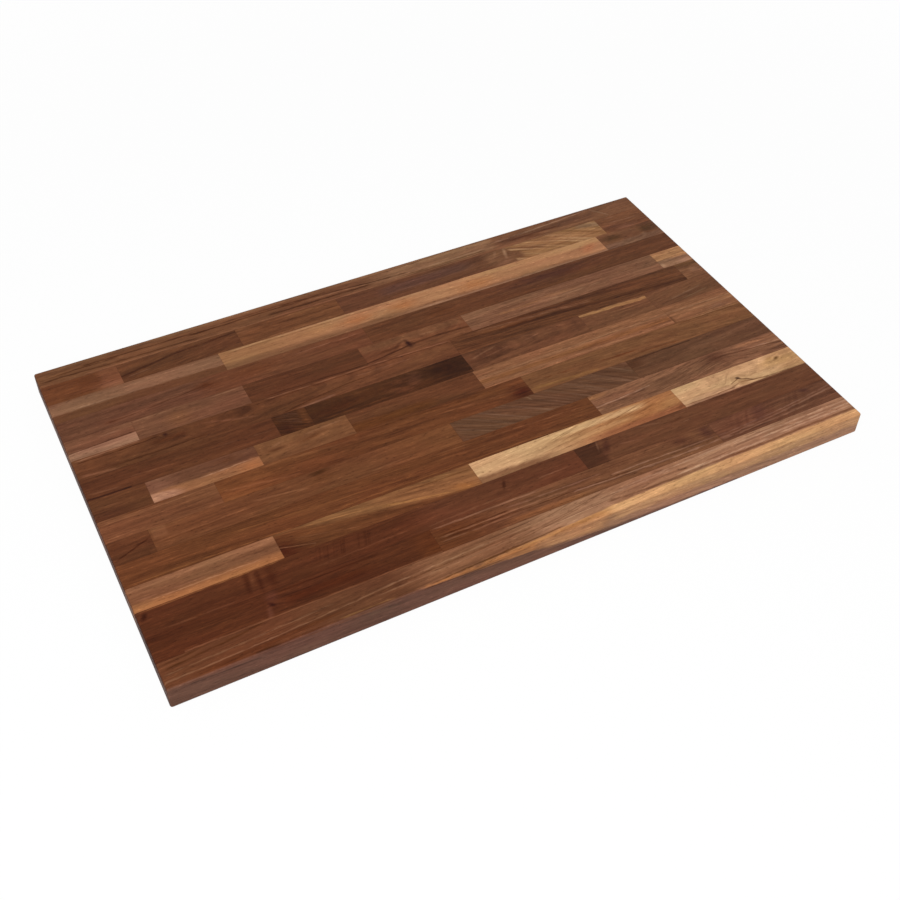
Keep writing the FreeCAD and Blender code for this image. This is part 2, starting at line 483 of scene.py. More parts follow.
def streak(start, end, wide, colour, strength, end_wide=None, bow=0, soft=None, ragged=1, lean=LEAN, fade=15,
           fade_out=None):
    """A streak between two places, with its half width, bow, edges and fades in millimetres."""
    soft = wide * 1.6 if soft is None else soft
    end_wide = wide if end_wide is None else end_wide
    fade_out = fade if fade_out is None else fade_out

    def settings(stave):
        return {
            "start": stave.along(start[0]), "start_side": stave.side(start[1]),
            "end": stave.along(end[0]), "end_side": stave.side(end[1]),
            "bow": bow * MM, "wide": wide * MM, "end_wide": end_wide * MM, "soft": soft * MM,
            "ragged": ragged * MM, "lean": lean, "fade_in": fade * MM, "fade_out": fade_out * MM,
        }

    return Mark(streak_group, colour, strength, settings)


def front_streak(start, end, wide, colour, strength, **changes):
    """A streak on the front face of the front rail."""
    return streak(start, end, wide, colour, strength, lean=FRONT_LEAN, **changes)


def band(start, end, colour, strength, side=50, wide=40, soft=6, **changes):
    """A change of shade over the whole width, between two places along the slab."""
    return streak((start, side), (end, side), wide, colour, strength, soft=soft, ragged=0.5, **changes)


def blotch(centre, long, wide, colour, strength, turn=0, soft=1.2, ragged=0.25):
    """An oval patch: half length and width in millimetres, turn in degrees, edge as a share of them."""

    def settings(stave):
        return {
            "centre": stave.along(centre[0]), "side": stave.side(centre[1]), "half_long": long * MM,
            "half_wide": wide * MM, "turn": math.radians(turn), "soft": soft, "ragged": ragged, "lean": LEAN,
        }

    return Mark(blotch_group, colour, strength, settings)


def stripes(start, end, colour, strength, turn, step, thin, soft, side=50, wide=30, curve=0, fade=15):
    """Stripes between two places along the slab, about a step apart, with their turn in degrees."""

    def settings(stave):
        return {
            "start": stave.along(start), "end": stave.along(end), "side": stave.side(side),
            "half_wide": wide * MM, "turn": math.radians(turn), "curve": curve, "step": step * MM,
            "thin": thin, "soft": soft, "fade": fade * MM, "lean": STRIPES_LEAN,
        }

    return Mark(stripes_group, colour, strength, settings)


class Knot:
    """A place where the rings are pushed aside, with a reach and a rise in millimetres."""

    def __init__(self, centre, long, wide, rise):
        self.centre = centre
        self.long = long
        self.wide = wide
        self.rise = rise

    def swell(self, tree, stave, along, across):
        rise = use(
            tree, swell_group, along=along, across=across, centre=stave.along(self.centre[0]),
            side=stave.side(self.centre[1]), half_long=self.long * MM, half_wide=self.wide * MM,
            rise=self.rise * MM,
        )
        return rise["rise"]


# The shades of walnut that the staves are cut from, as they look on a screen, 0 to 255
SHADES = {
    "smoke": (68, 41, 28),
    "deep red": (79, 44, 30),
    "dark red": (84, 47, 32),
    "dark": (89, 53, 36),
    "umber": (95, 58, 39),
    "grey brown": (97, 64, 46),
    "earth": (98, 61, 43),
    "russet": (100, 59, 38),
    "dull brown": (103, 65, 48),
    "red brown": (106, 65, 43),
    "brown": (109, 70, 49),
    "dusty brown": (112, 72, 53),
    "chestnut": (113, 70, 48),
    "tawny": (116, 75, 50),
    "fawn": (119, 78, 55),
    "dusty tan": (123, 83, 61),
    "golden tan": (125, 83, 54),
    "grey tan": (132, 92, 69),
    "warm tan": (133, 87, 61),
    "honey": (166, 116, 82),
    "gold": (173, 122, 84),
    "sapwood": (194, 150, 110),
}

# How much lighter and darker than its shade a stave is in patches
PATCHES = 0.04

# How far a face has to turn to the end to show as end grain: where that starts, and where it is full
END_FROM = 0.4
END_FULL = 0.95

# How a stave was sawn: where the heart of the tree lies from it, and how far apart its rings are
CUTS = {
    "straight": {"heart_side": 0.16, "heart_down": 0.03, "dip": 0.0, "ring": 0.0030},
    "rift": {"heart_side": 0.07, "heart_down": 0.04, "dip": 0.015, "ring": 0.0034},
    "flat": {"heart_side": 0.010, "heart_down": 0.015, "dip": 0.035, "ring": 0.0036},
}


# How far from the seam a glue line ends, and how far its darkest part reaches
GLUE_EDGE_MM = 0.7
GLUE_CORE_MM = 0.2


def glue_line(stave, along, across):
    """1 on the seams about a stave, and 0 a hair away from them."""
    half = (stave.back - stave.front) / 2
    to_side = across.size() * -1.0 + half
    nearest = to_side
    if stave.number > 1:
        nearest = nearest.math("MINIMUM", along - stave.left)
    if stave.number < len(row_nodes(stave.row)):
        nearest = nearest.math("MINIMUM", along * -1.0 + stave.right)
    return nearest.ramp(GLUE_EDGE_MM * MM, GLUE_CORE_MM * MM)


def wood(row, number, shade, marks, contrast=0.5, late=0.35, cut="rift", slant=0, wander=1.5, knots=(),
         **changes):
    """Give a stave its walnut: its shade, how it was sawn, and its own marks and knots.

    Contrast and late are how strongly its figure and its late wood show, and slant is how far its grain
    moves across for each bit along.
    """
    stave = Stave(row, number)
    material = bpy.data.materials.new(stave.name + " walnut")
    material.use_nodes = True
    tree = material.node_tree
    tree.nodes.clear()
    coordinates = tree.nodes.new("ShaderNodeTexCoord")
    places = tree.nodes.new("ShaderNodeSeparateXYZ")
    tree.links.new(coordinates.outputs["Object"], places.inputs[0])
    along, crosswise, up = (Wire(tree, socket) for socket in places.outputs)
    across = crosswise - (stave.front + stave.back) / 2
    depth = up * -1.0 + slab_high.z
    swell = 0.0
    for knot in knots:
        rise = knot.swell(tree, stave, along, across)
        swell = rise if swell == 0.0 else swell + rise
    grain = use(
        tree, grain_group, along=along, across=across, up=up, piece=row + number * STAVE_STEP, slant=slant,
        wander=wander * MM, swell=swell, **{**CUTS[cut], **changes},
    )
    light = linear(*(value * (1 + PATCHES) for value in SHADES[shade]))
    dark = linear(*(value * (1 - PATCHES) for value in SHADES[shade]))
    colour = mix(tree, grain["patch"], light, dark)
    for mark in marks:
        share = use(
            tree, mark.shared, along=along, across=grain["grain"], depth=depth, feather=grain["feather"],
            **mark.settings(stave),
        )["share"]
        colour = mix(tree, share * mark.strength, colour, mark.colour)

    normals = tree.nodes.new("ShaderNodeSeparateXYZ")
    tree.links.new(coordinates.outputs["Normal"], normals.inputs[0])
    end = Wire(tree, normals.outputs[0]).size().ramp(END_FROM, END_FULL)
    finished = use(
        tree, finish_group, colour=colour, figure=grain["figure"], contrast=contrast, late=grain["late"],
        late_share=late, hair=grain["hair"], cloud=grain["cloud"], warm=grain["warm"], pores=grain["pores"],
        glue=glue_line(stave, along, across) * GLUE_SHOWN, end=end,
    )
    bump = tree.nodes.new("ShaderNodeBump")
    bump.inputs["Strength"].default_value = RELIEF_STRENGTH
    bump.inputs["Distance"].default_value = RELIEF_MM * MM
    plug(tree, finished["relief"], bump.inputs["Height"])
    surface = tree.nodes.new("ShaderNodeBsdfPrincipled")
    surface.inputs["Specular IOR Level"].default_value = SPECULAR
    plug(tree, finished["colour"], surface.inputs["Base Color"])
    plug(tree, finished["rough"], surface.inputs["Roughness"])
    tree.links.new(bump.outputs["Normal"], surface.inputs["Normal"])
    output = tree.nodes.new("ShaderNodeOutputMaterial")
    tree.links.new(surface.outputs[0], output.inputs[0])
    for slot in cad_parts[stave.name].material_slots:
        slot.material = material


# The staves, row by row from the front, each from the left end to the right

# Row 1, the front rail
wood(1, 1, "earth", contrast=0.4, late=0.9, slant=0.03, wander=2, ring=0.0034, marks=[
    band(29, 105, (128, 86, 62), 0.8, side=60, wide=45, lean=0, fade=60, fade_out=1),
    band(44, 105, (160, 115, 88), 0.92, side=60, wide=45, lean=0, fade=110, fade_out=1),
    band(59, 75, (142, 97, 71), 0.6, side=60, wide=30, lean=0, fade=30, fade_out=50),
    streak((37, -3), (62, 10), 0.5, (176, 121, 76), 0.95, end_wide=8.5, soft=4, ragged=1.4, lean=3, fade=40,
           fade_out=30),
    streak((57, 10), (105, 9), 8.4, (203, 152, 106), 0.97, end_wide=7.8, soft=3.5, ragged=1.4, lean=3,
           fade=40),
    band(-5, 24, (97, 56, 38), 0.6, wide=45, lean=0, fade=1, fade_out=160),
    streak((0, 68), (14, 102), 1.3, (72, 40, 24), 0.7, bow=-1.5, ragged=1.2),
    streak((0, 88), (7, 102), 1, (76, 42, 26), 0.6, bow=-1),
    streak((2, 12), (24, 34), 3.5, (86, 47, 29), 0.6, soft=6, ragged=1.8, lean=2, fade=40),
    streak((-1, 24), (30, 58), 0.9, (140, 97, 72), 0.5, bow=-1.5, ragged=1.2, lean=2),
    streak((0, 50), (22, 72), 0.9, (134, 92, 67), 0.5, bow=-1, ragged=1.2),
    streak((28, 58), (52, 72), 0.9, (146, 106, 80), 0.5, ragged=1.2),
    streak((24, 46), (50, 62), 0.9, (88, 54, 36), 0.6, ragged=1.2),
    streak((26, 36), (50, 48), 0.9, (142, 102, 76), 0.4, ragged=1.2),
    streak((6, 10), (20, 7), 1.4, (80, 44, 28), 0.5, ragged=1.2, lean=2),
    streak((10, 6), (14.5, 5), 1.4, (58, 33, 22), 0.8, lean=2, ragged=0.5),
    streak((21, 10), (29, 7), 0.8, (138, 96, 62), 0.6, lean=2),
    streak((22, 3), (36, 4), 0.9, (74, 42, 28), 0.7, lean=2),
    streak((33, 4), (45, 12), 1.1, (74, 44, 25), 0.85, ragged=0.9, lean=2),
    streak((40, 10), (53, 24), 0.9, (98, 60, 36), 0.75, bow=-0.8, ragged=0.9, lean=2),
    streak((45, 40), (61, 100), 0.9, (106, 70, 50), 0.6, bow=-3.5),
    streak((43, 28), (59, 84), 0.8, (112, 74, 52), 0.6, bow=-3.5),
    streak((42, 52), (56, 102), 0.8, (108, 72, 52), 0.5, bow=-3),
    streak((48, 34), (63, 74), 0.8, (176, 132, 102), 0.4, bow=-2.5),
    streak((59, 50), (71, 36), 1.4, (108, 70, 50), 0.75, bow=-0.8, ragged=1.4),
    streak((67, 95), (70, 80), 2.4, (116, 76, 56), 0.6, soft=5, ragged=1.8),
    streak((71, 60), (72.5, 56), 1.4, (104, 66, 48), 0.7, ragged=1.2, fade=4),
    streak((69, 36.5), (82, 35), 1.6, (122, 79, 57), 0.7, soft=3, ragged=1.6),
    streak((78, 35), (102, 35.5), 2, (112, 70, 46), 0.75, soft=3.2, ragged=1.4, fade_out=1),
    streak((70, 46), (86, 46), 1.2, (196, 152, 122), 0.6, ragged=1.4),
    streak((87, 51), (100, 50), 1.1, (192, 148, 120), 0.6, ragged=1.4),
    streak((62, 80), (90, 88), 1, (176, 134, 108), 0.5, ragged=1.4),
    streak((84, 61), (102, 64), 0.9, (192, 150, 122), 0.6, ragged=1.4, fade_out=1),
    streak((80, 76), (102, 79), 0.9, (188, 145, 118), 0.6, ragged=1.4, fade_out=1),
    streak((82, 84), (102, 86), 0.8, (124, 84, 62), 0.5, ragged=1.4, fade_out=1),
    streak((60, 62), (74, 60), 0.9, (112, 73, 54), 0.5, ragged=1.4),
    streak((60, 72), (71, 74), 0.9, (176, 132, 106), 0.45, ragged=1.4),
    streak((70, 56), (80, 54), 0.8, (120, 80, 58), 0.5, ragged=1.4),
    streak((74, 68), (102, 70), 1, (120, 82, 62), 0.5, ragged=1.4, fade_out=1),
    streak((72, 92), (96, 93), 1, (124, 86, 66), 0.4, ragged=1.4),
    front_streak((-5, -134), (70, -134), 57, (104, 71, 59), 0.85, soft=6, fade=1, fade_out=240, ragged=0.5),
    front_streak((31, 0), (50, -52), 1, (166, 110, 70), 0.95, end_wide=22, soft=8, ragged=4, fade=30),
    front_streak((47, -50), (60, -98), 21, (178, 127, 88), 0.95, end_wide=42, soft=20, ragged=6, fade=30),
    front_streak((58, -100), (102, -134), 42, (186, 138, 98), 0.97, end_wide=58, soft=20, ragged=6, fade=30,
                 fade_out=1),
    front_streak((56, -175), (102, -205), 24, (160, 116, 93), 0.85, end_wide=30, soft=24, ragged=8, fade=60,
                 fade_out=1),
    front_streak((50, -230), (82, -266), 20, (100, 70, 60), 0.85, end_wide=8, soft=16, ragged=6, fade=40),
    front_streak((72, -250), (80, -250), 9, (98, 70, 64), 0.7, soft=10, ragged=6),
    front_streak((30.5, -22), (44, -50), 3, (78, 46, 32), 0.75, soft=4, ragged=3),
    front_streak((2, -40), (12, -60), 3, (70, 46, 36), 0.75, soft=5, ragged=4),
    front_streak((58, -45), (78, -50), 2.6, (190, 146, 104), 0.5, soft=5, ragged=4),
    front_streak((16, -20), (28, -30), 3, (126, 80, 56), 0.5, soft=5, ragged=4),
    front_streak((24, -75), (31, -95), 4, (88, 64, 50), 0.5, soft=8, ragged=5),
    front_streak((65, -110), (70, -125), 3, (130, 84, 62), 0.6, soft=5, ragged=4),
])

# Row 2
wood(2, 1, "deep red", contrast=0.6, cut="straight", marks=[
    band(33, 38, (91, 50, 31), 0.7, wide=30, soft=4, fade=35, fade_out=1),
    streak((3.5, 4), (37, 3), 1.3, (120, 76, 54), 0.6, ragged=0.8, fade=2),
    streak((16, 88), (30, 86), 1.2, (64, 32, 18), 0.6, ragged=0.5),
    blotch((15.4, 80), 7, 9, (98, 57, 44), 0.5, turn=-12, soft=0.9),
    blotch((14.4, 24), 3.2, 9, (110, 66, 50), 0.5, turn=-12, soft=0.9),
    blotch((15, 50), 5, 2.6, (44, 20, 12), 0.7, turn=-45, soft=0.8),
    streak((16, 45), (30, 42), 7, (68, 32, 19), 0.5, soft=10, fade=20, fade_out=60, ragged=0.5),
], knots=[Knot((15, 50), 18, 10, 5)])
wood(2, 2, "brown", contrast=0.6, cut="straight", slant=-0.012, late=1, ring=0.0036, marks=[
    band(36, 50, (90, 50, 31), 0.8, wide=30, soft=4, fade=1, fade_out=120),
    streak((37, 94), (53, 92), 1.3, (142, 98, 76), 0.6),
    streak((45, 12), (60, 8), 4, (136, 86, 54), 0.6, soft=6, ragged=1.2, fade=40),
    streak((37, 60), (48, 58), 1, (70, 36, 22), 0.7, ragged=1.2),
    streak((37, 46), (50, 46), 1.2, (72, 38, 24), 0.6, ragged=1.2),
    streak((37, 53), (58, 48), 1, (142, 96, 72), 0.5, ragged=1.4),
    streak((37, 35), (50, 34), 1, (142, 94, 70), 0.5, ragged=1.4),
    streak((47, 70), (62, 66), 1, (146, 102, 82), 0.4, ragged=1.4),
    streak((62, 46), (79.5, 40), 1, (148, 106, 86), 0.5, ragged=1.4),
    streak((66, 22), (79.5, 22), 1, (82, 46, 34), 0.5, ragged=1.4),
    streak((38, 44), (66, 34), 0.8, (76, 42, 28), 0.7),
    streak((56, 36), (80, 20), 1.1, (152, 108, 86), 0.6, bow=-1.5, ragged=1.4),
    blotch((74.5, 72), 17, 8, (80, 46, 36), 0.7, turn=-25, soft=1.1, ragged=0.5),
    blotch((78.6, 70), 12, 11, (72, 42, 36), 0.75, turn=-40, soft=1, ragged=0.5),
])
wood(2, 3, "dull brown", contrast=0.6, cut="straight", slant=0.03, late=0.8, ring=0.0036, marks=[
    stripes(81.5, 96.5, (78, 44, 34), 0.5, turn=58, step=8, thin=0.25, soft=0.8, side=65, wide=14),
    streak((79, 24), (101, 64), 1.1, (148, 106, 86), 0.4, bow=-4, ragged=1.5),
    streak((79, 36), (101, 76), 1, (148, 106, 88), 0.3, bow=-4, ragged=1.5),
    streak((79, 16), (95, 26), 1, (144, 102, 80), 0.45, bow=-1.5, ragged=1.5),
    blotch((87.5, 75), 20, 9, (84, 50, 42), 0.6, turn=60, ragged=0.5),
    blotch((95.8, 86), 7, 4, (70, 40, 38), 0.6, turn=-20, soft=1),
])

# Row 3
wood(3, 1, "dark red", contrast=0.4, marks=[
    band(34, 62, (97, 57, 40), 0.9, fade=70, fade_out=1),
    streak((0, 96), (19, 97), 0.8, (136, 86, 54), 0.6, ragged=0.8),
    blotch((0.9, 76), 3, 6, (54, 28, 18), 0.8, turn=-25, soft=0.9),
    blotch((13.5, 55), 3, 15, (60, 30, 18), 0.65, turn=-8, ragged=0.5),
    blotch((15, 50), 2.5, 17, (58, 29, 17), 0.65, turn=-6, ragged=0.5),
    blotch((16.5, 55), 5, 16, (60, 30, 18), 0.6, turn=-3, ragged=0.5),
    blotch((14.2, 60), 2, 10, (104, 62, 42), 0.4, turn=-14, soft=1.3, ragged=0.5),
    stripes(22, 31, (58, 30, 18), 0.6, turn=70, step=4.5, thin=0.25, soft=0.7, side=62, wide=12),
    streak((2, 10), (12, 8), 0.9, (112, 68, 48), 0.4, ragged=1.4),
    streak((21, 22), (35, 30), 1, (114, 68, 48), 0.4, ragged=1.4),
    streak((36, 10), (50, 20), 0.9, (120, 78, 56), 0.4, bow=2, ragged=1.4),
    streak((53, 42), (59, 42), 0.8, (130, 86, 64), 0.5, ragged=1.2),
    blotch((49.1, 68), 2.2, 8.5, (58, 30, 18), 0.75, turn=-28, soft=0.9),
])
wood(3, 2, "earth", contrast=0.4, marks=[
    band(60, 64.4, (74, 45, 33), 0.95, soft=2, fade=1, fade_out=9),
    blotch((63.8, 80), 1.3, 9, (118, 80, 60), 0.6, turn=-18, soft=0.9),
    blotch((64.8, 62), 5, 15, (74, 43, 34), 0.8, turn=-32, soft=0.9, ragged=0.4),
    streak((66, 55), (70, 40), 1, (132, 88, 66), 0.4),
    blotch((76.5, 64), 12, 2.5, (76, 42, 28), 0.6, soft=1),
    streak((75.5, 46), (78.5, 44), 1, (142, 98, 74), 0.5),
    streak((70, 92), (74.5, 70), 1.6, (124, 84, 62), 0.5, bow=2),
    streak((82, 93), (98, 93), 1.2, (70, 40, 28), 0.5),
])

# Row 4
wood(4, 1, "fawn", contrast=0.3, cut="straight", marks=[
    streak((-2, 96), (21, 86), 4, (148, 100, 72), 0.7, end_wide=6, soft=6, fade=1),
    streak((-2, 8), (21, 5), 8.4, (160, 104, 66), 0.85, end_wide=9, soft=16, ragged=1.6, fade=1),
    streak((2, 30), (17, 26), 0.8, (176, 124, 92), 0.4, ragged=1.5),
    streak((0, 44), (10, 40), 0.8, (154, 104, 78), 0.4, ragged=1.5),
])
wood(4, 2, "golden tan", contrast=0.6, slant=-0.13, marks=[
    streak((17, 50), (46, -25), 25, (93, 54, 35), 0.92, end_wide=9, soft=12, ragged=2, lean=0.6, fade=1),
    blotch((19.2, 25), 26, 16, (62, 28, 17), 0.85, turn=-28, soft=1.3, ragged=0.4),
    blotch((22.5, 80), 22, 7, (104, 60, 38), 0.6, turn=-24, soft=1.1, ragged=0.4),
    streak((18.8, 44), (23.5, 10), 0.8, (128, 82, 58), 0.7, ragged=0.6, fade=2),
    streak((21, 62), (30, 8), 0.6, (122, 76, 52), 0.5, ragged=0.8),
    streak((33, 60), (43, 10), 1.4, (164, 112, 68), 0.55, bow=1, ragged=0.9),
    streak((35, 48), (42, 10), 0.7, (158, 106, 66), 0.5, ragged=0.8),
    streak((23, 92), (33, 70), 0.9, (156, 104, 66), 0.5, ragged=0.8),
    streak((37, 84), (46.8, 78), 0.8, (96, 58, 34), 0.7, ragged=0.8),
    blotch((44.5, 18), 16, 6, (150, 96, 54), 0.6, turn=-14, soft=1),
])
wood(4, 3, "sapwood", contrast=0.2, slant=0.05, marks=[
    band(52, 85, (158, 105, 67), 0.95, wide=45, fade=190, fade_out=1),
    streak((45, 8), (60, 8), 9.4, (120, 80, 56), 0.92, end_wide=6.5, soft=9, ragged=1.8, fade=1,
           fade_out=60),
    streak((60, 8), (81, 12), 6.5, (146, 90, 62), 0.8, soft=8, ragged=1.8, fade=80, fade_out=1),
    streak((55, 86), (75, 80), 6, (208, 164, 120), 0.8, end_wide=5, soft=8, ragged=1.8, fade=60,
           fade_out=30),
    streak((60, 40), (72, 48), 3, (188, 138, 96), 0.6, soft=6, ragged=1.8, fade=30),
    blotch((74.5, 50), 24, 8, (168, 106, 66), 0.5, turn=15),
    stripes(58, 76, (120, 76, 46), 0.6, turn=12, step=4, thin=0.35, soft=0.4, side=74, wide=10),
    stripes(56, 78, (120, 76, 46), 0.45, turn=7, step=3.5, thin=0.4, soft=0.4, side=35, wide=9),
    blotch((78.4, 15), 8, 7, (108, 64, 42), 0.6, soft=1.1),
])
wood(4, 4, "sapwood", cut="flat", wander=3, marks=[
    band(94.5, 105, (170, 126, 88), 0.8, wide=45, soft=4, fade=30, fade_out=1),
    streak((78, 12), (90, 10), 8, (182, 138, 105), 0.8, soft=7, ragged=1.5, fade=1, fade_out=40),
    streak((78, 3), (102, 2), 2.2, (162, 118, 90), 0.8, soft=5, fade=1),
    streak((78.5, 34), (87, 30), 1, (168, 124, 90), 0.7, fade=1),
    streak((78.5, 62), (88, 66), 1, (178, 134, 98), 0.5, ragged=1.4),
    streak((90, 40), (96, 44), 1, (162, 118, 84), 0.5, ragged=1.2),
    streak((78.5, 13), (87.5, 12), 0.9, (112, 72, 48), 0.8, bow=-0.6, ragged=0.7, fade=1),
    streak((86.2, 10), (89, 30), 1, (122, 80, 54), 0.75, ragged=0.7, bow=-1, fade=6),
    streak((88.9, 28), (93.5, 10), 1.2, (112, 72, 48), 0.8, ragged=0.7, bow=-1, fade=4),
    streak((92.5, 12), (100, 3), 0.8, (128, 86, 60), 0.7, ragged=0.7),
    streak((87.2, 30), (89.05, 45), 0.9, (98, 60, 38), 0.85, ragged=0.5, fade=3),
    streak((88.85, 45), (91, 18), 1.3, (94, 58, 38), 0.85, ragged=0.6, fade=3),
    streak((79, 5), (90, 5), 1.6, (150, 106, 82), 0.7, soft=3, ragged=0.8, fade=1, fade_out=30),
    streak((92, 62), (102, 56), 7, (176, 134, 90), 0.7, soft=8, ragged=1.5, fade=30, fade_out=1),
    blotch((89, 25), 7, 5, (136, 94, 64), 0.7, turn=-40),
    blotch((89, 47), 3.6, 2.2, (52, 27, 12), 0.95, turn=-25, soft=0.8),
    blotch((96.6, 74), 5, 2.4, (78, 48, 20), 0.9, turn=20, soft=0.9),
    blotch((95.5, 80), 8, 3, (150, 108, 62), 0.6, turn=12, soft=1),
], knots=[Knot((89, 47), 16, 12, 5), Knot((96.6, 74), 12, 7, 3)])

# Row 5
wood(5, 1, "russet", contrast=0.6, cut="straight", slant=-0.03, late=0.5, marks=[
    streak((0, 10), (22, 3), 0.8, (132, 82, 50), 0.5),
    streak((12, 72), (40, 34), 0.8, (124, 76, 46), 0.4),
    streak((28, 16), (66, 3), 0.9, (132, 82, 50), 0.5),
    streak((42, 88), (66, 66), 0.8, (124, 78, 52), 0.5),
])
wood(5, 2, "dusty tan", contrast=0.9, slant=0.02, wander=2, late=0.8, marks=[
    streak((67, 92), (71.5, 90), 4, (150, 101, 66), 0.6, soft=7, ragged=1.6, fade=1, fade_out=30),
    streak((67.5, 42), (77, 56), 0.9, (160, 120, 98), 0.5, bow=-1, ragged=1.2, fade=2),
    streak((67.5, 34), (76, 46), 0.9, (84, 54, 40), 0.6, bow=-1, ragged=1.2, fade=2),
    streak((76, 58), (87, 84), 1, (88, 56, 42), 0.5, bow=1, ragged=0.8),
    blotch((88.7, 70), 19, 14, (84, 50, 37), 0.85, turn=-20, soft=1.1, ragged=0.35),
    streak((88, 72), (101, 36), 1.2, (84, 50, 36), 0.8, bow=1, ragged=0.8),
    streak((90, 36), (101, 18), 3, (92, 58, 42), 0.5, soft=6),
    streak((92, 88), (101, 80), 2.6, (150, 102, 72), 0.7, soft=4),
    streak((94, 60), (101, 50), 0.9, (160, 116, 94), 0.6, ragged=0.8),
], knots=[Knot((88.8, 72), 70, 34, 11)])

# Row 6
wood(6, 1, "dark", marks=[
    streak((0, 14), (5.8, 72), 1.2, (60, 31, 17), 0.85, soft=2.5, ragged=0.6),
    streak((0, 70), (2, 90), 4, (80, 44, 28), 0.5, soft=8, ragged=0.5),
])
wood(6, 2, "red brown", contrast=0.4, wander=2.5, marks=[
    streak((5.6, 80), (7.8, 80), 12, (130, 84, 58), 0.45, soft=8, fade=3, fade_out=5, ragged=0.5),
    streak((5.6, 37), (19, 42), 0.9, (128, 82, 56), 0.4, ragged=1.5),
    streak((6, 30), (22, 38), 0.7, (82, 46, 27), 0.5),
    streak((18.5, 66), (26.5, 36), 1.6, (138, 90, 62), 0.55, bow=1.5, soft=3, ragged=1.2),
    streak((20, 40), (24, 20), 1.4, (132, 84, 58), 0.4, soft=3, ragged=1.2),
    blotch((28.6, 88), 13, 3.4, (64, 38, 18), 0.85, soft=0.9),
    blotch((28.5, 62), 12, 6, (84, 46, 26), 0.4),
    streak((34, 15), (42, 26), 1, (138, 92, 62), 0.45),
    band(36, 50, (120, 74, 47), 0.5, fade=60, fade_out=1),
])
wood(6, 3, "grey brown", cut="straight", slant=-0.42, marks=[
    stripes(47.8, 77, (72, 47, 35), 0.42, turn=-29, curve=0.4, step=3.6, thin=0.15, soft=0.6),
    stripes(47.8, 77, (136, 102, 82), 0.3, turn=-29, curve=0.4, step=5.2, thin=0.3, soft=0.6),
    streak((60, 98), (60.7, 72), 1.4, (138, 106, 80), 0.5, soft=2, fade=3, ragged=0.5),
])
wood(6, 4, "grey brown", contrast=0.4, marks=[
    streak((77.5, 94), (88, 93), 1.3, (56, 32, 22), 0.75, ragged=0.8, fade=6),
    blotch((77.2, 80), 14, 10, (72, 44, 28), 0.6),
    streak((86, 55), (101, 92), 4, (122, 82, 60), 0.5, bow=-5, soft=7, ragged=1.2),
])

# Row 7
wood(7, 1, "chestnut", cut="straight", marks=[
    streak((0, 80), (13, 84), 0.8, (140, 92, 64), 0.4, ragged=1.2),
    streak((0, 16), (6, 16), 0.8, (138, 90, 62), 0.5, ragged=1.2),
    streak((3, 95), (12, 95), 0.9, (84, 46, 28), 0.6),
])
wood(7, 2, "russet", contrast=0.6, slant=-0.045, wander=2.5, late=0.5, marks=[
    band(15, 26, (118, 69, 43), 0.75, side=60, wide=30, fade=1, fade_out=80),
    streak((15.7, 52), (27, 10), 1.6, (136, 84, 56), 0.45, bow=-1, soft=3, ragged=1.4),
    streak((20, 98), (42, 62), 1.4, (130, 82, 54), 0.4, bow=1, soft=3, ragged=1.4),
    streak((37, 94), (60, 74), 1.2, (70, 37, 22), 0.5),
    streak((48, 56), (60, 40), 0.9, (128, 80, 54), 0.5),
    blotch((60.2, 28), 17, 12, (62, 26, 18), 0.8, turn=-15, soft=1.1, ragged=0.4),
])
wood(7, 3, "tawny", slant=-0.05, marks=[
    streak((61.4, 22), (73, 6), 2.2, (140, 98, 56), 0.4, soft=6, ragged=1.6),
    streak((64, 55), (70, 50), 1, (92, 48, 28), 0.7, ragged=1.4),
    streak((73, 40), (80, 34), 1.2, (96, 50, 30), 0.75, ragged=1.4),
    streak((79, 20), (87, 8), 1.2, (94, 52, 32), 0.7, ragged=1.4),
    streak((88, 90), (99, 88), 1, (84, 48, 30), 0.6),
    streak((89, 96), (100, 95), 0.8, (156, 108, 78), 0.5),
])

# Row 8
wood(8, 1, "umber", contrast=0.4, marks=[
    blotch((2, 20), 24, 10, (76, 42, 32), 0.6),
    streak((0, 62), (4, 52), 1, (122, 76, 54), 0.4),
])
wood(8, 2, "dull brown", contrast=0.3, wander=2.5, marks=[
    blotch((8.8, 75), 18, 16, (130, 88, 68), 0.7),
    streak((6, 16), (25, 18), 11.6, (146, 96, 66), 0.92, soft=6.5, bow=0.8, ragged=1.8, fade=1),
    streak((6, 24), (12.5, 10), 12, (170, 121, 95), 0.9, end_wide=5, soft=7, ragged=1.8, fade=1,
           fade_out=24),
    blotch((21.2, 16), 16, 8, (164, 100, 64), 0.8, ragged=0.4),
    blotch((15, 14), 14, 3, (166, 112, 76), 0.5, ragged=0.5),
    streak((13.5, 40), (22, 46), 0.9, (170, 122, 96), 0.6),
    stripes(7.6, 11.5, (128, 88, 70), 0.5, turn=-35, step=3, thin=0.2, soft=0.5, side=22, wide=8),
    blotch((18.5, 78), 14, 5, (86, 50, 31), 0.5, ragged=0.5),
])
wood(8, 3, "tawny", cut="flat", wander=2.5, marks=[
    blotch((25.2, 50), 9, 2.4, (80, 44, 27), 0.7, turn=6, soft=1.1, ragged=0.5),
    blotch((30.2, 52), 15, 2.8, (82, 46, 28), 0.65, turn=8, soft=1.1, ragged=0.5),
    streak((29, 70), (35.5, 80), 1.4, (144, 98, 70), 0.5, bow=1.5, ragged=1.2),
    streak((24, 62), (27, 78), 1.4, (142, 96, 70), 0.4, bow=1.5, ragged=1.2),
])
wood(8, 4, "umber", cut="straight", marks=[
    streak((35, 22), (50, 22), 9, (88, 50, 27), 0.6, soft=8, ragged=1.5, fade=1, fade_out=40),
])
